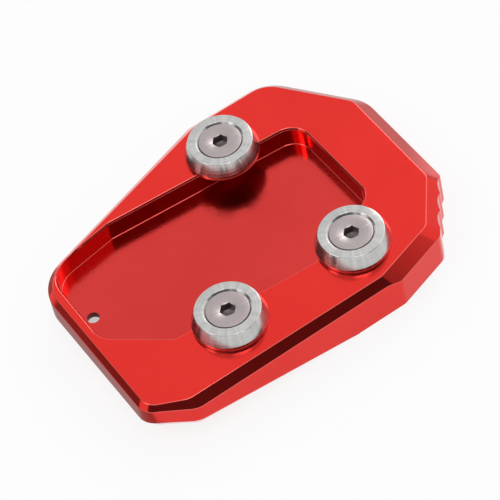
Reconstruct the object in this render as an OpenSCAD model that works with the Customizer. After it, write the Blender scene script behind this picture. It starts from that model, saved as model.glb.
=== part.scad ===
// Foot enlarger for a motorcycle side stand: a milled plate with three clamp washers.
// Millimetres, +Z up. The plate stands on Z = 0 and the stand's foot lies in the pocket on top.
// X runs along the straight back wall of the pocket, which is away from the viewer.

/* [Plate] */
// length over all, along X
plate_l = 109.4; // [90:0.1:130]
// width over all, along Y
plate_w = 88; // [75:0.1:105]
// height of the plate
plate_h = 13.5; // [12:0.1:20]
// rise over run of the bevels under the plate
bevel_slope = 1.5; // [1:0.05:2]

/* [Pocket] */
// depth of the pocket under the top face
pocket_depth = 6.3; // [4:0.1:9]
// broken edge round the pocket
pocket_edge = 0.5; // [0.1:0.1:0.8]

/* [Grip flutes] */
// distance from one flute to the next
flute_pitch = 6; // [4:0.1:6]
// flat left between two flutes
flute_land = 0.3; // [0.1:0.1:1]
// depth of a flute
flute_depth = 0.6; // [0.2:0.1:1.2]

/* [Eyelet] */
// diameter of the small hole at the left end of the pocket
eye_d = 3.6; // [2:0.1:5]
// thickness of the floor round that hole
eye_floor = 2; // [1:0.1:4]
// diameter of the wider bore under it
eye_bore_d = 8; // [6:0.5:10]

/* [Clamp washer] */
// height of a washer
washer_h = 5; // [4:0.1:8]
// diameter of a washer
washer_d = 21; // [19:0.1:24]
// diameter of its top face
washer_top_d = 18.2; // [15:0.1:19]
// height of the cone between them
washer_cone_h = 3.8; // [1:0.1:4]
// broken edge at the foot
washer_edge = 0.3; // [0.1:0.1:1]

/* [Clamp screw] */
// thread diameter
screw_d = 6; // [4:0.5:6]
// length over all
screw_l = 16; // [12:1:16]
// head diameter
head_d = 12; // [10:0.1:14]
// height of the head's straight rim
head_rim = 0.3; // [0.1:0.1:0.5]
// how far the head lies under the washer's top face
head_sink = 0.3; // [0:0.1:1]
// width across the flats of the socket
hex_af = 4; // [3:0.5:5]
// depth of the socket
hex_depth = 2.5; // [1.5:0.1:3]
// how far the cone at its mouth reaches past the flats
hex_lead = 0.35; // [0.1:0.05:0.6]
// chamfer at the end of the thread
screw_end = 0.6; // [0.2:0.1:1]

/* [Fits] */
// gap round a screw in the plate and in its washer
screw_fit = 0.1; // [0.05:0.05:0.2]
// gap between the screw's cone and the countersink
seat_fit = 0.05; // [0:0.01:0.1]

/* [Hidden] */
$fn = 96;
sliver = 0.01;

// outlines as [x, y, corner radius], anticlockwise from the left front corner,
// drawn for a plate of drawn_l by drawn_w
drawn_l = 109.4;
drawn_w = 88;
wall_drawn = [
    [-51.6, -37.8, 6], [-39.2, -44.2, 8], [26.9, -39.0, 4], [43.2, -32.3, 4], [54.9, -13.2, 3],
    [52.3, 21.0, 8], [33.1, 44.3, 10], [6.3, 42.4, 8], [-55.1, 17.1, 13]
];
face_drawn = [
    [-50.1, -37.2, 5], [-39.7, -41.7, 6], [22.1, -37.1, 2], [40.9, -29.4, 4], [50.2, -14.6, 3],
    [47.8, 20.8, 5], [30.8, 41.4, 8], [7.1, 39.8, 8], [-53.6, 16.2, 12]
];
pocket_drawn = [
    [-49.4, -9.8, 7], [-33.2, -21.8, 3], [17.3, -21.8, 3], [33.8, -9.8, 5], [30.9, 23.5, 6],
    [-29.3, 23.5, 3], [-50.9, 18.2, 9]
];
// outline of the ground face where bevels leave it at the left, left front and front;
// elsewhere it lies wide of the wall
ground_drawn = [[-47.7, -34.2, 2], [-38.1, -40.2, 4], [70, -40.2, 2], [70, 60, 2], [-54.2, 60, 2]];
back_drawn = [9.2, 27];
left_drawn = [-18, -25.5];
right_drawn = [22, -22.7];
eye_drawn = [-46.5, 2.3];

wall = sized(wall_drawn);
face = sized(face_drawn);
pocket = sized(pocket_drawn);
ground = sized(ground_drawn);
back_at = place(back_drawn);
left_at = place(left_drawn);
right_at = place(right_drawn);
eye_at = place(eye_drawn);
// from the corner of the side wall to the first flute
flute_start = 3.1;
// how far a cut runs past the face it opens
over = 1;

csk_r = head_d / 2 + head_rim + head_sink + seat_fit;
screw_r = screw_d / 2 + screw_fit;

function place(at) = [at[0] * plate_l / drawn_l, at[1] * plate_w / drawn_w];
function sized(p) = [for (c = p) concat(place(c), c[2])];
function last(p, i) = (i + len(p) - 1) % len(p);
function next(p, i) = (i + 1) % len(p);
function spot(p, i) = [p[i][0], p[i][1]];
function along(p, i) = (spot(p, next(p, i)) - spot(p, i)) / norm(spot(p, next(p, i)) - spot(p, i));
function out(v) = [v[1], -v[0]];
// centre of the rounding at corner i, as far from both of its sides as its radius
function hub(p, i) =
    let (
        u = along(p, last(p, i)),
        v = along(p, i),
        m = out(u) + out(v)
    )
    spot(p, i) - m * (p[i][2] / (1 + u * v));

// outline with its corners rounded, moved outward by grow
module outline(p, grow = 0) {
    polygon([
        for (i = [0 : len(p) - 1])
            for (s = [last(p, i), i])
                hub(p, i) + out(along(p, s)) * (p[i][2] + grow)
    ]);
    for (i = [0 : len(p) - 1])
        translate(hub(p, i)) circle(p[i][2] + grow);
}

// solid between two levels whose sides lean evenly all round an outline
module leaning(p, low, low_grow, high, high_grow) {
    hull() {
        translate([0, 0, low - sliver]) linear_extrude(sliver) outline(p, low_grow, $fn = 48);
        translate([0, 0, high]) linear_extrude(sliver) outline(p, high_grow, $fn = 48);
    }
}

module flutes() {
    u = along(wall, 3);
    chord = flute_pitch - flute_land;
    r = chord * chord / 8 / flute_depth + flute_depth / 2;
    first = spot(wall, 3) + u * (flute_start + flute_pitch / 2) + out(u) * (r - flute_depth);
    for (k = [0, 1, 2])
        translate(first + u * k * flute_pitch)
            translate([0, 0, -over]) cylinder(h = plate_h + 2 * over, r = r);
}

module base_plate() {
    floor_h = plate_h - pocket_depth;
    color([0.78, 0.06, 0.05])
    difference() {
        intersection() {
            linear_extrude(plate_h) outline(wall);
            leaning(face, -over, plate_h + over, plate_h + over, -over);
            leaning(ground, -over, -over / bevel_slope, plate_h + over, (plate_h + over) / bevel_slope);
        }
        translate([0, 0, floor_h]) linear_extrude(pocket_depth + over) outline(pocket);
        leaning(pocket, plate_h - pocket_edge - over, -over, plate_h + over, pocket_edge + over);
        flutes();
        for (at = [back_at, left_at, right_at])
            translate([at[0], at[1], -over]) cylinder(h = plate_h + 2 * over, r = screw_r);
        translate([eye_at[0], eye_at[1], -over]) cylinder(h = floor_h + 2 * over, d = eye_d);
        translate([eye_at[0], eye_at[1], -over]) cylinder(h = floor_h - eye_floor + over, d = eye_bore_d);
    }
}

module clamp_washer(at) {
    color([0.75, 0.76, 0.76])
    translate([at[0], at[1], plate_h])
        rotate_extrude()
            polygon([
                [screw_r, 0], [washer_d / 2 - washer_edge, 0], [washer_d / 2, washer_edge],
                [washer_d / 2, washer_h - washer_cone_h], [washer_top_d / 2, washer_h],
                [csk_r, washer_h], [screw_r, washer_h - csk_r + screw_r]
            ]);
}

module clamp_screw(at, turn) {
    color([0.6, 0.57, 0.57])
    translate([at[0], at[1], plate_h + washer_h - head_sink])
        difference() {
            rotate_extrude()
                polygon([
                    [0, 0], [head_d / 2, 0], [head_d / 2, -head_rim],
                    [screw_d / 2, -head_rim - (head_d - screw_d) / 2], [screw_d / 2, screw_end - screw_l],
                    [screw_d / 2 - screw_end, -screw_l], [0, -screw_l]
                ]);
            rotate([0, 0, turn]) translate([0, 0, -hex_depth])
                cylinder(h = hex_depth + over, d = hex_af / cos(30), $fn = 6);
            translate([0, 0, -hex_lead / 2])
                cylinder(h = hex_lead, r1 = hex_af / 2, r2 = hex_af / 2 + 2 * hex_lead);
        }
}

module clamp_washer_back() { clamp_washer(back_at); }
module clamp_washer_left() { clamp_washer(left_at); }
module clamp_washer_right() { clamp_washer(right_at); }
module clamp_screw_back() { clamp_screw(back_at, -4); }
module clamp_screw_left() { clamp_screw(left_at, -9); }
module clamp_screw_right() { clamp_screw(right_at, -5); }

base_plate();
clamp_washer_back();
clamp_washer_left();
clamp_washer_right();
clamp_screw_back();
clamp_screw_left();
clamp_screw_right();
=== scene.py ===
import math

import bmesh
import bpy
import numpy as np
from mathutils import Matrix, Vector


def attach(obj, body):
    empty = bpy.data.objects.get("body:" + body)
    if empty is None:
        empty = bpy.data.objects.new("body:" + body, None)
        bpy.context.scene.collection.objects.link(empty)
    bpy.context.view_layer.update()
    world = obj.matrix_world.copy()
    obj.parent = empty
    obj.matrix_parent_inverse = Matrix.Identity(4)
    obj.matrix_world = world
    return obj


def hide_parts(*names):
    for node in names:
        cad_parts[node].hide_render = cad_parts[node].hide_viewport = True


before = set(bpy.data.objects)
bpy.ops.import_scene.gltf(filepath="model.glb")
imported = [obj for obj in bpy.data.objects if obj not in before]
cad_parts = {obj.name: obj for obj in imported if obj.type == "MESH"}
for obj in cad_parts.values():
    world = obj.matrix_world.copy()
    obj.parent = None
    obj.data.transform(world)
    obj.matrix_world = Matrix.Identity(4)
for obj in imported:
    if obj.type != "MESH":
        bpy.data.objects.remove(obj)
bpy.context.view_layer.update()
mm = 0.001
# vertices closer than this, in metres, are one
weld = 1e-7
print("frame loaded:", sorted(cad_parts))


# shader helpers

def emptyTree(block):
    block.use_nodes = True
    block.node_tree.nodes.clear()
    return block.node_tree


def newMaterial(name):
    material = bpy.data.materials.new(name)
    tree = emptyTree(material)
    shader = tree.nodes.new("ShaderNodeBsdfPrincipled")
    output = tree.nodes.new("ShaderNodeOutputMaterial")
    tree.links.new(shader.outputs["BSDF"], output.inputs["Surface"])
    return material, tree, shader


def addNode(tree, kind, values=None, **settings):
    node = tree.nodes.new(kind)
    for key, value in settings.items():
        setattr(node, key, value)
    for key, value in (values or {}).items():
        node.inputs[key].default_value = value
    return node


def addNoise(tree, vector, scale, detail=3.0, stretch=(1, 1, 1), turn=(0, 0, 0)):
    mapping = addNode(tree, "ShaderNodeMapping", {"Scale": stretch, "Rotation": turn})
    noise = addNode(tree, "ShaderNodeTexNoise", {"Scale": scale, "Detail": detail, "Roughness": 0.55})
    tree.links.new(vector, mapping.inputs["Vector"])
    tree.links.new(mapping.outputs["Vector"], noise.inputs["Vector"])
    return noise.outputs["Fac"]


def addRange(tree, value, low, high, fromLow=0.3, fromHigh=0.7):
    # the middle of a noise lies between 0.3 and 0.7
    node = addNode(tree, "ShaderNodeMapRange",
                   {"From Min": fromLow, "From Max": fromHigh, "To Min": low, "To Max": high})
    tree.links.new(value, node.inputs["Value"])
    return node.outputs["Result"]


def addMath(tree, operation, first, second):
    node = addNode(tree, "ShaderNodeMath", operation=operation)
    for socket, value in zip(node.inputs, (first, second)):
        if isinstance(value, (int, float)):
            socket.default_value = value
        else:
            tree.links.new(value, socket)
    return node.outputs["Value"]


def addTint(tree, value, dark, light):
    # the colour sockets of a mix node are numbers 6 and 7, its colour output is number 2
    node = addNode(tree, "ShaderNodeMix", {6: (*dark, 1), 7: (*light, 1)}, data_type="RGBA")
    tree.links.new(value, node.inputs[0])
    return node.outputs[2]


def addBump(tree, height, strength, distance, below=None):
    node = addNode(tree, "ShaderNodeBump", {"Strength": strength, "Distance": distance})
    tree.links.new(height, node.inputs["Height"])
    if below is not None:
        tree.links.new(below, node.inputs["Normal"])
    return node.outputs["Normal"]


def addPlainRays(tree):
    # 1 for rays from the camera and from shiny or clear surfaces, 0 for all others
    rays = addNode(tree, "ShaderNodeLightPath")
    shiny = addMath(tree, "MAXIMUM", rays.outputs["Is Camera Ray"], rays.outputs["Is Glossy Ray"])
    return addMath(tree, "MAXIMUM", shiny, rays.outputs["Is Transmission Ray"])


def addObject(name, data):
    piece = bpy.data.objects.new(name, data)
    bpy.context.scene.collection.objects.link(piece)
    return piece


# red anodised plate

anodised = {
    "coat": 0.08, "coatRoughness": 0.04, "coatIor": 1.5,
    "cloudScale": 45, "cloudRoughness": (-0.015, 0.02),
    "streakScale": 900, "streakStretch": (1, 0.012, 0.2), "streakRoughness": (-0.02, 0.02), "streakHeight": 0.00002,
    "grainHeight": 0.00003,
    "finishes": {
        "anodised_side": {
            "dark": (0.72, 0.028, 0.022), "light": (0.80, 0.038, 0.031), "roughness": 0.12,
            "streakTurn": (0, 0.3, 0.9), "streakDepth": 0.10, "grainDepth": 0.05, "grainScale": 5200,
        },
        "anodised_top": {
            "dark": (0.72, 0.028, 0.022), "light": (0.80, 0.038, 0.031), "roughness": 0.15,
            "streakTurn": (0, 0, 1.05), "streakDepth": 0.12, "grainDepth": 0.06, "grainScale": 4200,
        },
        # painted shade: the pocket floor's red is darker than the top's, standing in for the shade in the recess
        "anodised_pocket_painted_shade": {
            "dark": (0.58, 0.034, 0.030), "light": (0.68, 0.050, 0.045), "roughness": 0.17,
            "streakTurn": (0, 0, 0.35), "streakDepth": 0.10, "grainDepth": 0.9, "grainScale": 1900,
        },
        # painted highlight: the rounded edges and the pocket's foot fillet get a lighter, pinker red for the light
        # lines along them
        "anodised_edge_painted_highlight": {
            "dark": (0.77, 0.09, 0.075), "light": (0.85, 0.15, 0.13), "roughness": 0.12,
            "streakTurn": (0, 0, 0.35), "streakDepth": 0.05, "grainDepth": 0.05, "grainScale": 5200,
        },
        # painted shade: the eyelet's bore wall gets a dark red for the shade seen down the hole
        "anodised_bore_painted_shade": {
            "dark": (0.10, 0.012, 0.010), "light": (0.18, 0.022, 0.020), "roughness": 0.4,
            "streakTurn": (0, 0.3, 0.9), "streakDepth": 0.10, "grainDepth": 0.05, "grainScale": 5200,
        },
    },
}


def anodisedFinish(name):
    finish = anodised["finishes"][name]
    material, tree, shader = newMaterial(name)
    place = addNode(tree, "ShaderNodeTexCoord").outputs["Object"]
    cloud = addNoise(tree, place, anodised["cloudScale"], 4)
    streaks = addNoise(tree, place, anodised["streakScale"], 2, anodised["streakStretch"], finish["streakTurn"])
    grain = addNoise(tree, place, finish["grainScale"], 2)
    tree.links.new(addTint(tree, cloud, finish["dark"], finish["light"]), shader.inputs["Base Color"])
    uneven = addMath(tree, "ADD", addRange(tree, cloud, *anodised["cloudRoughness"]),
                     addRange(tree, streaks, *anodised["streakRoughness"]))
    tree.links.new(addMath(tree, "ADD", uneven, finish["roughness"]), shader.inputs["Roughness"])
    normal = addBump(tree, streaks, finish["streakDepth"], anodised["streakHeight"])
    normal = addBump(tree, grain, finish["grainDepth"], anodised["grainHeight"], normal)
    tree.links.new(normal, shader.inputs["Normal"])
    shader.inputs["Metallic"].default_value = 1.0
    shader.inputs["Coat Weight"].default_value = anodised["coat"]
    shader.inputs["Coat Roughness"].default_value = anodised["coatRoughness"]
    shader.inputs["Coat IOR"].default_value = anodised["coatIor"]
    return material


bareMetal = {
    "dark": (0.62, 0.56, 0.55), "light": (0.82, 0.78, 0.77), "roughness": (0.3, 0.45),
    "ringScale": 1400, "ringStretch": (0.1, 0.1, 3),
}


def boredMetal(name):
    # bare metal where the wide bore under the eyelet was cut after the colour went on
    material, tree, shader = newMaterial(name)
    place = addNode(tree, "ShaderNodeTexCoord").outputs["Object"]
    rings = addNoise(tree, place, bareMetal["ringScale"], 2, bareMetal["ringStretch"])
    tree.links.new(addTint(tree, rings, bareMetal["dark"], bareMetal["light"]), shader.inputs["Base Color"])
    tree.links.new(addRange(tree, rings, *bareMetal["roughness"]), shader.inputs["Roughness"])
    shader.inputs["Metallic"].default_value = 1.0
    return material


# millimetres and degrees; an outline's corners are (x, y, radius), anticlockwise from the left front corner
plateSettings = {
    "height": 13.5, "pocketDepth": 6.3, "pocketEdge": 0.5, "footFillet": 0.22, "filletSteps": 6,
    "edgeRound": 0.15, "edgeAngle": 16, "smoothAngle": 40, "leastLand": 0.35, "bevelSlope": 1.5,
    "flutes": 3, "fluteSide": 3, "flutePitch": 6.0, "fluteLand": 0.3, "fluteDepth": 0.6, "fluteStart": 3.1,
    "centre": (-8.0, 2.0), "steps": 1440, "cutPast": 1,
    "screwBore": 3.1, "eyeBore": 1.8, "eyeFloor": 2.0, "eyeCounterbore": 4.0,
    "wall": [(-51.6, -37.8, 6), (-39.2, -44.2, 8), (26.9, -39.0, 4), (43.2, -32.3, 4), (54.9, -13.2, 3),
             (52.3, 21.0, 8), (33.1, 44.3, 10), (6.3, 42.4, 8), (-55.1, 17.1, 13)],
    "face": [(-50.1, -37.2, 5), (-39.7, -41.7, 6), (22.1, -37.1, 2), (40.9, -29.4, 4), (50.2, -14.6, 3),
             (47.8, 20.8, 5), (30.8, 41.4, 8), (7.1, 39.8, 8), (-53.6, 16.2, 12)],
    "pocket": [(-49.4, -9.8, 7), (-33.2, -21.8, 3), (17.3, -21.8, 3), (33.8, -9.8, 5), (30.9, 23.5, 6),
               (-29.3, 23.5, 3), (-50.9, 18.2, 9)],
    "ground": [(-47.7, -34.2, 2), (-38.1, -40.2, 4), (70, -40.2, 2), (70, 60, 2), (-54.2, 60, 2)],
    "screwsAt": [(9.2, 27.0), (-18.0, -25.5), (22.0, -22.7)], "eyeAt": (-46.5, 2.3),
}
# places of the finishes in plateMaterials
sideFinish, topFinish, pocketShadeFinish, bareFinish, edgeHighlightFinish, boreShadeFinish = range(6)


def outlineParts(corners):
    points = np.array([c[:2] for c in corners], float)
    radii = np.array([c[2] for c in corners], float)
    ahead = np.roll(points, -1, 0) - points
    ahead /= np.linalg.norm(ahead, axis=1)[:, None]
    outAhead = np.stack([ahead[:, 1], -ahead[:, 0]], 1)
    outBehind = np.roll(outAhead, 1, 0)
    turn = 1 + (outAhead * outBehind).sum(1)
    hubs = points - (outAhead + outBehind) * (radii / turn)[:, None]
    return points, radii, hubs, outAhead, outBehind


def firstHit(room, slope):
    # distance to the nearest of several straight lines that a way runs towards
    towards = slope > 1e-9
    return np.where(towards, room / np.where(towards, slope, 1), np.inf).min(1)


def reach(corners, grow, ways, centre):
    # distance from the centre to an outline moved outward by grow, along each way
    points, radii, hubs, outAhead, outBehind = outlineParts(corners)
    grow = np.broadcast_to(np.asarray(grow, float), (len(ways),))[:, None]
    sides = firstHit(((points - centre) * outAhead).sum(1)[None] + grow, ways @ outAhead.T)
    chord = outAhead + outBehind
    chord /= np.linalg.norm(chord, axis=1)[:, None]
    lean = (chord * outAhead).sum(1)
    room = ((hubs - centre) * chord).sum(1)[None] + lean[None] * (radii[None] + grow)
    far = np.minimum(sides, firstHit(room, ways @ chord.T))
    back = centre - hubs
    across = ways @ back.T
    disc = across ** 2 - (back ** 2).sum(1)[None] + (radii[None] + grow) ** 2
    arcs = np.where(disc > 0, -across + np.sqrt(np.maximum(disc, 0)), 0)
    return np.maximum(far, arcs.max(1))


def fluteCircles(s):
    # middles and radius of the flutes' circles, and the spots where the flutes leave the wall
    points, _, _, outAhead, _ = outlineParts(s["wall"])
    out = outAhead[s["fluteSide"]]
    way = np.array([-out[1], out[0]])
    chord = s["flutePitch"] - s["fluteLand"]
    radius = chord ** 2 / 8 / s["fluteDepth"] + s["fluteDepth"] / 2
    first = points[s["fluteSide"]] + way * (s["fluteStart"] + s["flutePitch"] / 2) + out * (radius - s["fluteDepth"])
    middles = [first + way * k * s["flutePitch"] for k in range(s["flutes"])]
    ends = [m - out * (radius - s["fluteDepth"]) + way * chord / 2 * side for m in middles for side in (-1, 1)]
    return middles, radius, ends


def plateAngles(s, centre):
    # even steps, and every place where a side turns into its corner's arc or a flute ends
    spots = []
    for key in ("wall", "face", "pocket"):
        _, radii, hubs, outAhead, outBehind = outlineParts(s[key])
        spots += list(hubs + outAhead * radii[:, None]) + list(hubs + outBehind * radii[:, None])
    spots += fluteCircles(s)[2]
    found = [math.atan2(p[1] - centre[1], p[0] - centre[0]) for p in spots]
    even = np.linspace(-math.pi, math.pi, s["steps"], endpoint=False)
    leastRoom, leastTurn = math.pi / s["steps"] * 0.8, 2e-4
    keep = [a for a in even if min(abs(a - f) for f in found) > leastRoom]
    merged = np.sort(np.concatenate([keep, found]))
    return merged[np.concatenate([[True], np.diff(merged) > leastTurn])]


def findGrow(corners, target, ways, centre, low, high, halvings=36):
    # how far an outline has to move outward to reach the target distance, along each way
    low = np.full(len(ways), float(low))
    high = np.full(len(ways), float(high))
    for _ in range(halvings):
        middle = (low + high) / 2
        short = reach(corners, middle, ways, centre) < target
        low = np.where(short, middle, low)
        high = np.where(short, high, middle)
    return (low + high) / 2


def plateRings(s):
    # from the ground up the outside, over the top and down into the pocket, rings of
    # (distance from the centre, level, finish of the faces between this ring and the next)
    centre = np.array(s["centre"])
    angles = plateAngles(s, centre)
    ways = np.stack([np.cos(angles), np.sin(angles)], 1)
    height, floor, edge, fillet = s["height"], s["height"] - s["pocketDepth"], s["pocketEdge"], s["footFillet"]
    wall = reach(s["wall"], 0, ways, centre)
    middles, radius, _ = fluteCircles(s)
    for middle in middles:
        back = centre - middle
        across = ways @ back
        disc = across ** 2 - back @ back + radius ** 2
        near = -across - np.sqrt(np.maximum(disc, 0))
        wall = np.where((disc > 0) & (near > 0), np.minimum(wall, near), wall)
    upper = np.clip(height - findGrow(s["face"], wall, ways, centre, low=-1, high=height + 3), 0, height)
    lower = np.clip(s["bevelSlope"] * findGrow(s["ground"], wall, ways, centre, low=0, high=12), 0, height)
    flat = np.zeros(len(ways))
    # at the left back the land between pocket and outline runs out, and their broken edges meet in a ridge
    outer = np.minimum(wall, reach(s["face"], 0, ways, centre))
    inner = reach(s["pocket"], edge, ways, centre)
    joined = outer - inner < s["leastLand"]
    ridge = (outer + inner) / 2
    level = height - np.where(joined, np.maximum(inner - outer, 0) / 2, 0)
    outer, inner = np.where(joined, ridge, outer), np.where(joined, ridge, inner)
    rings = [
        (np.minimum(wall, reach(s["ground"], 0, ways, centre)), flat, sideFinish),
        (wall, lower, sideFinish), (wall, upper, sideFinish),
        (outer, level, topFinish), (inner, level, sideFinish),
        (reach(s["pocket"], 0, ways, centre), flat + height - edge, sideFinish),
    ]
    # the foot fillet takes the lighter red of painted highlight
    for k in range(s["filletSteps"] + 1):
        turn = math.pi / 2 * k / s["filletSteps"]
        distance = reach(s["pocket"], -fillet * (1 - math.cos(turn)), ways, centre)
        rings.append((distance, flat + floor + fillet * (1 - math.sin(turn)), edgeHighlightFinish))
    return centre, ways, rings


def loftPlate(s):
    centre, ways, rings = plateRings(s)
    count = len(ways)
    shape = bmesh.new()
    rows = []
    for distance, level, _ in rings:
        spots = centre[None] + ways * distance[:, None]
        rows.append([shape.verts.new((x * mm, y * mm, z * mm)) for (x, y), z in zip(spots, level)])
    for k in range(len(rows) - 1):
        for i in range(count):
            j = (i + 1) % count
            quad = shape.faces.new((rows[k][i], rows[k][j], rows[k + 1][j], rows[k + 1][i]))
            quad.material_index = rings[k][2]
    # the pocket floor takes the darker red of painted shade
    shape.faces.new(rows[-1]).material_index = pocketShadeFinish
    shape.faces.new(rows[0][::-1]).material_index = sideFinish
    bmesh.ops.remove_doubles(shape, verts=shape.verts, dist=2 * weld)
    bmesh.ops.recalc_face_normals(shape, faces=shape.faces)
    mesh = bpy.data.meshes.new("plate_body")
    shape.to_mesh(mesh)
    shape.free()
    for material in plateMaterials:
        mesh.materials.append(material)
    return mesh


def finishedMesh(piece):
    # the piece with its modifiers as a plain mesh
    bpy.context.view_layer.update()
    result = bpy.data.meshes.new_from_object(piece.evaluated_get(bpy.context.evaluated_depsgraph_get()))
    piece.modifiers.clear()
    piece.data = result
    return result


def roundEdges(piece, width, angle, material):
    bevel = piece.modifiers.new("edges", "BEVEL")
    bevel.width = width * mm
    bevel.segments = 2
    bevel.limit_method = "ANGLE"
    bevel.angle_limit = math.radians(angle)
    bevel.miter_outer = "MITER_ARC"
    bevel.material = material
    # clamping would shrink every edge to suit the shortest one
    bevel.use_clamp_overlap = False
    finishedMesh(piece)


def cutter(name, at, radius, low, high, material):
    mesh = bpy.data.meshes.new(name)
    shape = bmesh.new()
    middle = Matrix.Translation(Vector((at[0], at[1], (low + high) / 2)) * mm)
    bmesh.ops.create_cone(shape, cap_ends=True, segments=64, radius1=radius * mm, radius2=radius * mm,
                          depth=(high - low) * mm, matrix=middle)
    shape.to_mesh(mesh)
    shape.free()
    mesh.materials.append(material)
    return addObject(name, mesh)


def cutBores(plate, s):
    # each bore's wall keeps its cutter's material
    floor, past = s["height"] - s["pocketDepth"], s["cutPast"]
    side, bore, bare = plateMaterials[sideFinish], plateMaterials[boreShadeFinish], plateMaterials[bareFinish]
    cutters = [cutter("bore", at, s["screwBore"], -past, s["height"] + past, side) for at in s["screwsAt"]]
    # the eyelet's bore wall takes the dark red of painted shade
    cutters.append(cutter("eye", s["eyeAt"], s["eyeBore"], -past, floor + past, bore))
    cutters.append(cutter("eyeUnder", s["eyeAt"], s["eyeCounterbore"], -past, floor - s["eyeFloor"], bare))
    for tool in cutters:
        cut = plate.modifiers.new("cut", "BOOLEAN")
        cut.operation = "DIFFERENCE"
        cut.solver = "EXACT"
        cut.material_mode = "TRANSFER"
        cut.object = tool
    finishedMesh(plate)
    for tool in cutters:
        bpy.data.objects.remove(tool)


def steadyNormals(mesh, angle):
    # each face counts by its area squared, so that flat faces stay flat right up to the rounded edges
    count = len(mesh.polygons)
    normals, areas = np.empty(count * 3), np.empty(count)
    mesh.polygons.foreach_get("normal", normals)
    mesh.polygons.foreach_get("area", areas)
    normals = normals.reshape(-1, 3)
    totals = np.empty(count, int)
    mesh.polygons.foreach_get("loop_total", totals)
    faces = np.repeat(np.arange(count), totals)
    corners = np.empty(len(mesh.loops), int)
    mesh.loops.foreach_get("vertex_index", corners)
    order = np.argsort(corners, kind="stable")
    first = np.searchsorted(corners[order], corners)
    met = np.bincount(corners)[corners]
    total = np.zeros((len(corners), 3))
    for k in range(met.max()):
        here = met > k
        other = faces[order[first[here] + k]]
        near = (normals[other] * normals[faces[here]]).sum(1) > math.cos(math.radians(angle))
        total[here] += normals[other] * (near * areas[other] ** 2)[:, None]
    total /= np.linalg.norm(total, axis=1)[:, None]
    mesh.normals_split_custom_set(total.tolist())


def makePlate(s):
    plate = addObject("plate_body", loftPlate(s))
    # the rounded edges take the lighter red of painted highlight
    roundEdges(plate, s["edgeRound"], s["edgeAngle"], edgeHighlightFinish)
    # rounding next to a very short edge can end outside the plate's height
    for vertex in plate.data.vertices:
        vertex.co.z = min(max(vertex.co.z, 0), s["height"] * mm)
    cutBores(plate, s)
    for face in plate.data.polygons:
        face.use_smooth = True
    steadyNormals(plate.data, s["smoothAngle"])
    return plate


plateMaterials = [
    anodisedFinish("anodised_side"), anodisedFinish("anodised_top"), anodisedFinish("anodised_pocket_painted_shade"),
    boredMetal("bore_bright"), anodisedFinish("anodised_edge_painted_highlight"), anodisedFinish("anodised_bore_painted_shade"),
]
plate = makePlate(plateSettings)
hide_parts("base_plate")
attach(plate, "root")
print("plate:", len(plate.data.polygons), "faces")


# clamp washers and screws, made once each by Geometry Nodes and set down at three places

def newTree(name, inputs):
    tree = bpy.data.node_groups.new(name, "GeometryNodeTree")
    tree.interface.new_socket("Geometry", in_out="INPUT", socket_type="NodeSocketGeometry")
    for label, value in inputs.items():
        if isinstance(value, bpy.types.Material):
            tree.interface.new_socket(label, in_out="INPUT", socket_type="NodeSocketMaterial")
        else:
            socket = tree.interface.new_socket(label, in_out="INPUT", socket_type="NodeSocketFloat")
            socket.default_value = value
    tree.interface.new_socket("Geometry", in_out="OUTPUT", socket_type="NodeSocketGeometry")
    return tree, addNode(tree, "NodeGroupInput"), addNode(tree, "NodeGroupOutput")


def revolvedProfile(tree, corners, rounding, closed=True, segments=128):
    # corners are pairs of (radius, height); the profile runs along a circle, whose radius it takes off again
    circle = 4 * mm
    line = addNode(tree, "GeometryNodeMeshLine", {"Count": len(corners)})
    curve = addNode(tree, "GeometryNodeMeshToCurve")
    cyclic = addNode(tree, "GeometryNodeSetSplineCyclic", {"Cyclic": closed})
    switch = addNode(tree, "GeometryNodeIndexSwitch", data_type="VECTOR")
    index = addNode(tree, "GeometryNodeInputIndex")
    while len(switch.index_switch_items) < len(corners):
        switch.index_switch_items.new()
    tree.links.new(index.outputs[0], switch.inputs["Index"])
    for k, (radius, height) in enumerate(corners):
        spot = addNode(tree, "ShaderNodeCombineXYZ")
        tree.links.new(addMath(tree, "SUBTRACT", radius, circle), spot.inputs["X"])
        tree.links.new(addMath(tree, "MULTIPLY", height, -1.0), spot.inputs["Y"])
        tree.links.new(spot.outputs[0], switch.inputs[str(k)])
    moved = addNode(tree, "GeometryNodeSetPosition")
    fillet = addNode(tree, "GeometryNodeFilletCurve", {"Count": 3, "Limit Radius": True}, mode="POLY")
    path = addNode(tree, "GeometryNodeCurvePrimitiveCircle", {"Resolution": segments, "Radius": circle})
    turned = addNode(tree, "GeometryNodeCurveToMesh")
    tree.links.new(line.outputs[0], curve.inputs[0])
    tree.links.new(curve.outputs[0], cyclic.inputs[0])
    tree.links.new(cyclic.outputs[0], moved.inputs["Geometry"])
    tree.links.new(switch.outputs[0], moved.inputs["Position"])
    tree.links.new(moved.outputs[0], fillet.inputs["Curve"])
    tree.links.new(rounding, fillet.inputs["Radius"])
    tree.links.new(path.outputs[0], turned.inputs["Curve"])
    tree.links.new(fillet.outputs[0], turned.inputs["Profile Curve"])
    merged = addNode(tree, "GeometryNodeMergeByDistance", {"Distance": weld})
    tree.links.new(turned.outputs[0], merged.inputs["Geometry"])
    return merged.outputs[0]


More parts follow.
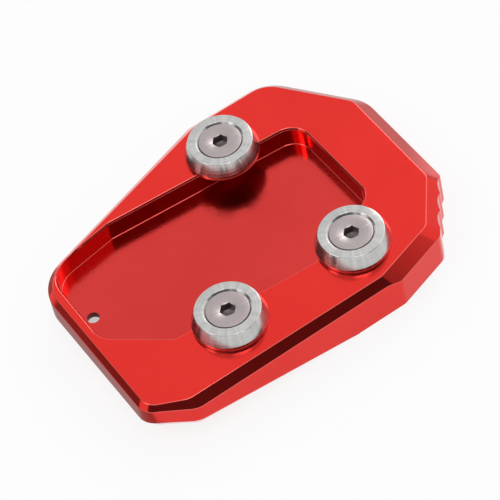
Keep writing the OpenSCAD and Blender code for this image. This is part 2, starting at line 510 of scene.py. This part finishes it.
def setDown(tree, group, output, shape, materialSocket):
    # keeps each piece's own place as an attribute, then puts it at every point and turns it by the point's angle
    own = addNode(tree, "GeometryNodeInputPosition")
    keep = addNode(tree, "GeometryNodeStoreNamedAttribute", {"Name": "ownPlace"},
                   data_type="FLOAT_VECTOR", domain="POINT")
    turn = addNode(tree, "GeometryNodeInputNamedAttribute", {"Name": "turn"}, data_type="FLOAT")
    spin = addNode(tree, "ShaderNodeCombineXYZ")
    spread = addNode(tree, "GeometryNodeInstanceOnPoints")
    real = addNode(tree, "GeometryNodeRealizeInstances")
    paint = addNode(tree, "GeometryNodeSetMaterial")
    tree.links.new(shape, keep.inputs["Geometry"])
    tree.links.new(own.outputs[0], keep.inputs["Value"])
    tree.links.new(turn.outputs["Attribute"], spin.inputs["Z"])
    tree.links.new(group.outputs["Geometry"], spread.inputs["Points"])
    tree.links.new(keep.outputs[0], spread.inputs["Instance"])
    tree.links.new(spin.outputs[0], spread.inputs["Rotation"])
    tree.links.new(spread.outputs[0], real.inputs[0])
    tree.links.new(real.outputs[0], paint.inputs["Geometry"])
    tree.links.new(materialSocket, paint.inputs["Material"])
    tree.links.new(paint.outputs[0], output.inputs["Geometry"])


def pointsPiece(name, places, level, turns):
    mesh = bpy.data.meshes.new(name)
    mesh.from_pydata([(x * mm, y * mm, level * mm) for x, y in places], [], [])
    mesh.attributes.new("turn", "FLOAT", "POINT").data.foreach_set("value", [math.radians(a) for a in turns])
    return addObject(name, mesh)


def runTree(piece, tree, inputs):
    modifier = piece.modifiers.new("maker", "NODES")
    modifier.node_group = tree
    for item in tree.interface.items_tree:
        if item.in_out == "INPUT" and item.name in inputs:
            modifier[item.identifier] = inputs[item.name]
    mesh = finishedMesh(piece)
    shape = bmesh.new()
    shape.from_mesh(mesh)
    print(piece.name, "volume", round(shape.calc_volume(signed=True) / mm ** 3, 1), "cubic mm")
    bmesh.ops.remove_doubles(shape, verts=shape.verts, dist=weld)
    bmesh.ops.recalc_face_normals(shape, faces=shape.faces)
    shape.to_mesh(mesh)
    shape.free()
    mesh.shade_smooth()


# what the finishes of washers and screws share: noise scales, shares of the grooves and the cloud, the scale of
# the painted highlight streaks, and the radius and the two depths between which the socket's painted shade deepens
lathed = {
    "cloudScale": 260, "cloudShare": 0.4, "grooveShare": 0.7, "highlightSpokeScale": 5.5, "grooveHeight": 0.00002,
    "grooveRoughness": (-0.04, 0.05), "socketRadius": 2.6 * mm, "socketShadeDepths": (-1.2 * mm, -0.2 * mm),
}


def turnedMetal(name, finish):
    material, tree, shader = newMaterial(name)
    own = addNode(tree, "ShaderNodeAttribute", attribute_name="ownPlace").outputs["Vector"]
    split = addNode(tree, "ShaderNodeSeparateXYZ")
    tree.links.new(own, split.inputs[0])
    x, y, z = split.outputs
    squares = addMath(tree, "ADD", addMath(tree, "MULTIPLY", x, x), addMath(tree, "MULTIPLY", y, y))
    radius = addMath(tree, "POWER", squares, 0.5)
    lathe = addNode(tree, "ShaderNodeCombineXYZ")
    tree.links.new(radius, lathe.inputs[0])
    tree.links.new(z, lathe.inputs[1])
    grooves = addNoise(tree, lathe.outputs[0], finish["grooveScale"], 3)
    cloud = addNoise(tree, addNode(tree, "ShaderNodeTexCoord").outputs["Object"], lathed["cloudScale"], 3)
    # painted highlight: radial light and dark streaks in the colour stand in for the fan-like highlights of turned
    # metal
    around = addNode(tree, "ShaderNodeCombineXYZ")
    tree.links.new(addMath(tree, "MULTIPLY", y, -1.0), around.inputs[0])
    tree.links.new(x, around.inputs[1])
    unit = addNode(tree, "ShaderNodeVectorMath", operation="NORMALIZE")
    tree.links.new(around.outputs[0], unit.inputs[0])
    highlightSpokes = addNoise(tree, unit.outputs[0], lathed["highlightSpokeScale"], 5)
    mottleAndHighlights = addMath(tree, "ADD", addMath(tree, "MULTIPLY", grooves, lathed["grooveShare"]),
                     addMath(tree, "MULTIPLY", cloud, lathed["cloudShare"]))
    mottleAndHighlights = addMath(tree, "ADD", mottleAndHighlights, addRange(tree, highlightSpokes, -finish["highlightSpokes"], finish["highlightSpokes"]))
    metal = addTint(tree, mottleAndHighlights, finish["dark"], finish["light"])
    # painted shade: the broached socket is darker the deeper it goes
    near = addMath(tree, "LESS_THAN", radius, lathed["socketRadius"])
    deep = addMath(tree, "MULTIPLY", near, addRange(tree, z, 1.0, 0.0, *lathed["socketShadeDepths"]))
    socketShadeColour = tuple(c * finish["socketShade"] for c in finish["light"])
    shade = addNode(tree, "ShaderNodeMix", {7: (*socketShadeColour, 1)}, data_type="RGBA")
    tree.links.new(deep, shade.inputs[0])
    tree.links.new(metal, shade.inputs[6])
    tree.links.new(shade.outputs[2], shader.inputs["Base Color"])
    roughness = addMath(tree, "ADD", addRange(tree, grooves, *lathed["grooveRoughness"]), finish["roughness"])
    tree.links.new(roughness, shader.inputs["Roughness"])
    tree.links.new(unit.outputs[0], shader.inputs["Tangent"])
    normal = addBump(tree, grooves, finish["grooveDepth"], lathed["grooveHeight"])
    tree.links.new(normal, shader.inputs["Normal"])
    shader.inputs["Metallic"].default_value = 1.0
    # the fine grooves run round the axis, so highlights stretch across them, a quarter turn from the tangent
    shader.inputs["Anisotropic"].default_value = finish["anisotropy"]
    shader.inputs["Anisotropic Rotation"].default_value = 0.25
    return material


# the streaks' strength here paints fan-like highlights; the socket's share paints shade
washerFinish = {
    "dark": (0.33, 0.33, 0.325), "light": (0.69, 0.685, 0.67), "roughness": 0.17, "anisotropy": 0.75,
    "socketShade": 1.0, "highlightSpokes": 0.16, "grooveScale": 2600, "grooveDepth": 0.25,
}
washerSettings = {
    "Bore": 3.1 * mm, "Countersink": 6.65 * mm, "Countersink foot": 1.45 * mm, "Outer radius": 10.5 * mm,
    "Top radius": 9.1 * mm, "Rim": 1.2 * mm, "Height": 5.0 * mm, "Rounding": 0.22 * mm,
    "Metal": turnedMetal("washer_turned", washerFinish),
}
washerTurns = (0, 0, 0)


def makeWashers(settings, places, level, turns):
    tree, group, output = newTree("washerMaker", settings)
    get = group.outputs
    corners = [
        (get["Bore"], 0.0), (get["Outer radius"], 0.0), (get["Outer radius"], get["Rim"]),
        (get["Top radius"], get["Height"]), (get["Countersink"], get["Height"]), (get["Bore"], get["Countersink foot"]),
    ]
    setDown(tree, group, output, revolvedProfile(tree, corners, get["Rounding"]), get["Metal"])
    washers = pointsPiece("clamp_washers", places, level, turns)
    runTree(washers, tree, settings)
    return washers


washers = makeWashers(washerSettings, plateSettings["screwsAt"], plateSettings["height"], washerTurns)
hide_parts("clamp_washer_back", "clamp_washer_left", "clamp_washer_right")
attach(washers, "root")
print("washers:", len(washers.data.polygons), "faces")

# the socket's share here is the painted shade deep in the socket, the streaks' strength the painted highlights
screwFinish = {
    "dark": (0.33, 0.285, 0.285), "light": (0.47, 0.405, 0.405), "roughness": 0.3, "anisotropy": 0.2,
    "socketShade": 0.5, "highlightSpokes": 0.06, "grooveScale": 1500, "grooveDepth": 0.12,
}
# heights are measured from the head's face; the socket is 4 mm across its flats
screwSettings = {
    "Head radius": 6.0 * mm, "Head rim": -0.3 * mm, "Cone foot": -3.3 * mm, "Shank radius": 3.0 * mm,
    "Shank end": -15.4 * mm, "End": -16.0 * mm, "End radius": 2.4 * mm, "Rounding": 0.1 * mm,
    "Socket radius": 4 / math.cos(math.pi / 6) / 2 * mm, "Socket depth": 2.5 * mm,
    "Mouth radius": 2.3 * mm, "Drill point": 0.8 * mm,
    "Metal": turnedMetal("screw_steel", screwFinish),
}
screwLevel = 18.2
screwTurns = (-4, -9, -5)
screwSharp = 30


def makeScrews(settings, places, level, turns):
    tree, group, output = newTree("screwMaker", settings)
    get = group.outputs
    corners = [
        (0.0, 0.0), (get["Head radius"], 0.0), (get["Head radius"], get["Head rim"]),
        (get["Shank radius"], get["Cone foot"]), (get["Shank radius"], get["Shank end"]),
        (get["End radius"], get["End"]), (0.0, get["End"]),
    ]
    shape = revolvedProfile(tree, corners, get["Rounding"], closed=False)
    socket = addNode(tree, "GeometryNodeMeshCylinder", {"Vertices": 6})
    mouth = addNode(tree, "GeometryNodeMeshCone", {"Vertices": 64, "Radius Top": 0.0})
    tip = addNode(tree, "GeometryNodeMeshCone", {"Vertices": 48, "Radius Bottom": 0.0})
    # the socket's prism is centred on the head's face, so half of it cuts
    tree.links.new(get["Socket radius"], socket.inputs["Radius"])
    tree.links.new(addMath(tree, "MULTIPLY", get["Socket depth"], 2.0), socket.inputs["Depth"])
    # the mouth's cone stands on its point and is as wide as the mouth at the head's face
    tree.links.new(addMath(tree, "MULTIPLY", get["Mouth radius"], 2.0), mouth.inputs["Radius Bottom"])
    tree.links.new(get["Mouth radius"], mouth.inputs["Depth"])
    flip = addNode(tree, "GeometryNodeTransform", {"Rotation": (math.pi, 0, 0)})
    lift = addNode(tree, "ShaderNodeCombineXYZ")
    tree.links.new(addMath(tree, "MULTIPLY", get["Mouth radius"], 0.5), lift.inputs["Z"])
    tree.links.new(mouth.outputs[0], flip.inputs[0])
    tree.links.new(lift.outputs[0], flip.inputs["Translation"])
    # the drill's point lies under the socket's floor, a little narrower and a little way up into it
    pointWidth, pointDrop = 0.8, 0.95
    tree.links.new(addMath(tree, "MULTIPLY", get["Socket radius"], pointWidth), tip.inputs["Radius Top"])
    tree.links.new(get["Drill point"], tip.inputs["Depth"])
    sink = addNode(tree, "GeometryNodeTransform")
    drop = addNode(tree, "ShaderNodeCombineXYZ")
    depth = addMath(tree, "SUBTRACT", addMath(tree, "MULTIPLY", get["Socket depth"], -1.0),
                    addMath(tree, "MULTIPLY", get["Drill point"], pointDrop))
    tree.links.new(depth, drop.inputs["Z"])
    tree.links.new(tip.outputs[0], sink.inputs[0])
    tree.links.new(drop.outputs[0], sink.inputs["Translation"])
    for tool in (socket.outputs[0], flip.outputs[0], sink.outputs[0]):
        cut = addNode(tree, "GeometryNodeMeshBoolean", operation="DIFFERENCE", solver="EXACT")
        tree.links.new(shape, cut.inputs["Mesh 1"])
        tree.links.new(tool, cut.inputs["Mesh 2"])
        shape = cut.outputs[0]
    setDown(tree, group, output, shape, get["Metal"])
    screws = pointsPiece("clamp_screws", places, level, turns)
    runTree(screws, tree, settings)
    screws.data.set_sharp_from_angle(angle=math.radians(screwSharp))
    return screws


screws = makeScrews(screwSettings, plateSettings["screwsAt"], screwLevel, screwTurns)
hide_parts("clamp_screw_back", "clamp_screw_left", "clamp_screw_right")
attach(screws, "root")
print("screws:", len(screws.data.polygons), "faces")


# floor, studio cards, lamps and world, in metres

studio = {
    "world": 1.0, "worldLight": 0.7,
    "floorGrey": 0.93, "floorWhite": 0.85, "floorHalf": 4.0, "floorLevel": -0.00003, "floorCardLevel": -0.00002,
    # azimuth, elevation, distance, width, height, grey, and the share of the size over which each edge fades
    "cards": [
        ("card_front", -94, 42, 0.9, 1.12, 0.66, 0.12, 0.1),
        ("card_front_left", -146, 30, 0.9, 0.62, 0.5, 0.12, 0.12),
        ("card_left", 138, 32, 0.9, 0.72, 0.9, 0.2, 0.12),
        ("card_right", -54.5, 24, 0.36, 0.24, 0.3, 0.1, 0.24),
        ("card_bright", 14, 50, 0.9, 0.62, 0.42, 2.6, 0.5),
    ],
    # lowest x and y, highest x and y, grey, and the same share
    "floorCards": [
        ("card_floor_left", (-0.35, -0.045), (-0.046, 0.2), 0.42, 0.012),
        ("card_floor_back", (0.03, 0.01), (0.45, 0.4), 0.68, 0.03),
    ],
    # azimuth, elevation, distance, size, power
    "lamps": [
        ("lamp_front", -80, 80, 0.9, 0.3, 0.9),
        ("lamp_left", 172, 52, 0.9, 0.25, 0.7),
        ("lamp_right", 42, 36, 0.9, 0.3, 1.1),
    ],
}


def facingPlace(azimuth, elevation, distance):
    # a place at that distance from the middle, turned to face it
    a, e = math.radians(azimuth), math.radians(elevation)
    spot = Vector((math.cos(e) * math.cos(a), math.cos(e) * math.sin(a), math.sin(e))) * distance
    return Matrix.Translation(spot) @ spot.to_track_quat("Z", "Y").to_matrix().to_4x4()


def flatSheet(name, halfWidth, halfHeight, level, material):
    mesh = bpy.data.meshes.new(name)
    corners = [(-halfWidth, -halfHeight), (halfWidth, -halfHeight), (halfWidth, halfHeight), (-halfWidth, halfHeight)]
    mesh.from_pydata([(x, y, level) for x, y in corners], [], [(0, 1, 2, 3)])
    mesh.materials.append(material)
    return addObject(name, mesh)


def mixedMaterial(name, addParts):
    # a material that mixes two shaders; addParts makes the share of the second, the first and the second
    material = bpy.data.materials.new(name)
    tree = emptyTree(material)
    share, first, second = addParts(tree)
    mix = addNode(tree, "ShaderNodeMixShader")
    output = addNode(tree, "ShaderNodeOutputMaterial")
    tree.links.new(share, mix.inputs["Fac"])
    tree.links.new(first.outputs[0], mix.inputs[1])
    tree.links.new(second.outputs[0], mix.inputs[2])
    tree.links.new(mix.outputs[0], output.inputs["Surface"])
    return material


def floorMaterial(name, grey, shareWhite):
    # a matt surface; rays from the camera and from metal see it mostly as plain white
    def addParts(tree):
        matt = addNode(tree, "ShaderNodeBsdfDiffuse", {"Color": (grey, grey, grey, 1)})
        white = addNode(tree, "ShaderNodeEmission", {"Color": (1, 1, 1, 1), "Strength": 1.0})
        return addMath(tree, "MULTIPLY", addPlainRays(tree), shareWhite), matt, white
    return mixedMaterial(name, addParts)


def cardMaterial(name, grey, halfWidth, halfHeight, soft):
    # one even grey that fades out towards the card's edges
    def addParts(tree):
        place = addNode(tree, "ShaderNodeSeparateXYZ")
        tree.links.new(addNode(tree, "ShaderNodeTexCoord").outputs["Object"], place.inputs[0])
        across = addMath(tree, "DIVIDE", addMath(tree, "ABSOLUTE", place.outputs[0], 0.0), halfWidth)
        upward = addMath(tree, "DIVIDE", addMath(tree, "ABSOLUTE", place.outputs[1], 0.0), halfHeight)
        outward = addMath(tree, "MAXIMUM", across, upward)
        glow = addNode(tree, "ShaderNodeEmission", {"Color": (grey, grey, grey, 1), "Strength": 1.0})
        clear = addNode(tree, "ShaderNodeBsdfTransparent")
        return addRange(tree, outward, 0.0, 1.0, 1 - 2 * soft, 1.0), glow, clear
    return mixedMaterial(name, addParts)


def makeFloor():
    material = floorMaterial("floor_paper", studio["floorGrey"], studio["floorWhite"])
    floor = flatSheet("floor", studio["floorHalf"], studio["floorHalf"], studio["floorLevel"], material)


def makeCard(name, width, height, grey, soft, place):
    material = cardMaterial(name, grey, width / 2, height / 2, soft)
    card = flatSheet(name, width / 2, height / 2, 0, material)
    card.matrix_world = place
    card.visible_camera = False
    card.visible_diffuse = False
    card.visible_shadow = False


def makeLamp(name, azimuth, elevation, distance, size, power):
    data = bpy.data.lights.new(name, "AREA")
    data.shape = "SQUARE"
    data.size = size
    data.energy = power
    lamp = addObject(name, data)
    lamp.matrix_world = facingPlace(azimuth, elevation, distance)


def makeWorld():
    world = bpy.data.worlds.new("studio")
    bpy.context.scene.world = world
    tree = emptyTree(world)
    strength = addRange(tree, addPlainRays(tree), studio["worldLight"], studio["world"], 0.0, 1.0)
    sky = addNode(tree, "ShaderNodeBackground", {"Color": (1, 1, 1, 1)})
    output = addNode(tree, "ShaderNodeOutputWorld")
    tree.links.new(strength, sky.inputs["Strength"])
    tree.links.new(sky.outputs[0], output.inputs["Surface"])


makeFloor()
makeWorld()
for name, azimuth, elevation, distance, width, height, grey, soft in studio["cards"]:
    makeCard(name, width, height, grey, soft, facingPlace(azimuth, elevation, distance))
for name, low, high, grey, soft in studio["floorCards"]:
    middle = ((low[0] + high[0]) / 2, (low[1] + high[1]) / 2, studio["floorCardLevel"])
    makeCard(name, high[0] - low[0], high[1] - low[1], grey, soft, Matrix.Translation(middle))
for lamp in studio["lamps"]:
    makeLamp(*lamp)
print("studio ready")


# camera at the photograph's viewing angle, with its place in millimetres

view = {
    "eye": (-189.59, -549.88, 705.30), "lens": 239.97, "sensor": 36.0, "near": 0.01, "far": 50.0,
    "right": (0.85875, -0.48974, -0.15068), "up": (0.46791, 0.62967, 0.62014), "back": (-0.20883, -0.60305, 0.76988),
}
cameraData = bpy.data.cameras.new("camera")
cameraData.sensor_width = view["sensor"]
cameraData.sensor_fit = "HORIZONTAL"
cameraData.lens = view["lens"]
cameraData.clip_start = view["near"]
cameraData.clip_end = view["far"]
camera = addObject("camera", cameraData)
turn = Matrix((view["right"], view["up"], view["back"])).transposed().to_4x4()
camera.matrix_world = Matrix.Translation(Vector(view["eye"]) * mm) @ turn
bpy.context.scene.camera = camera

bpy.context.scene.view_settings.view_transform = "Standard"
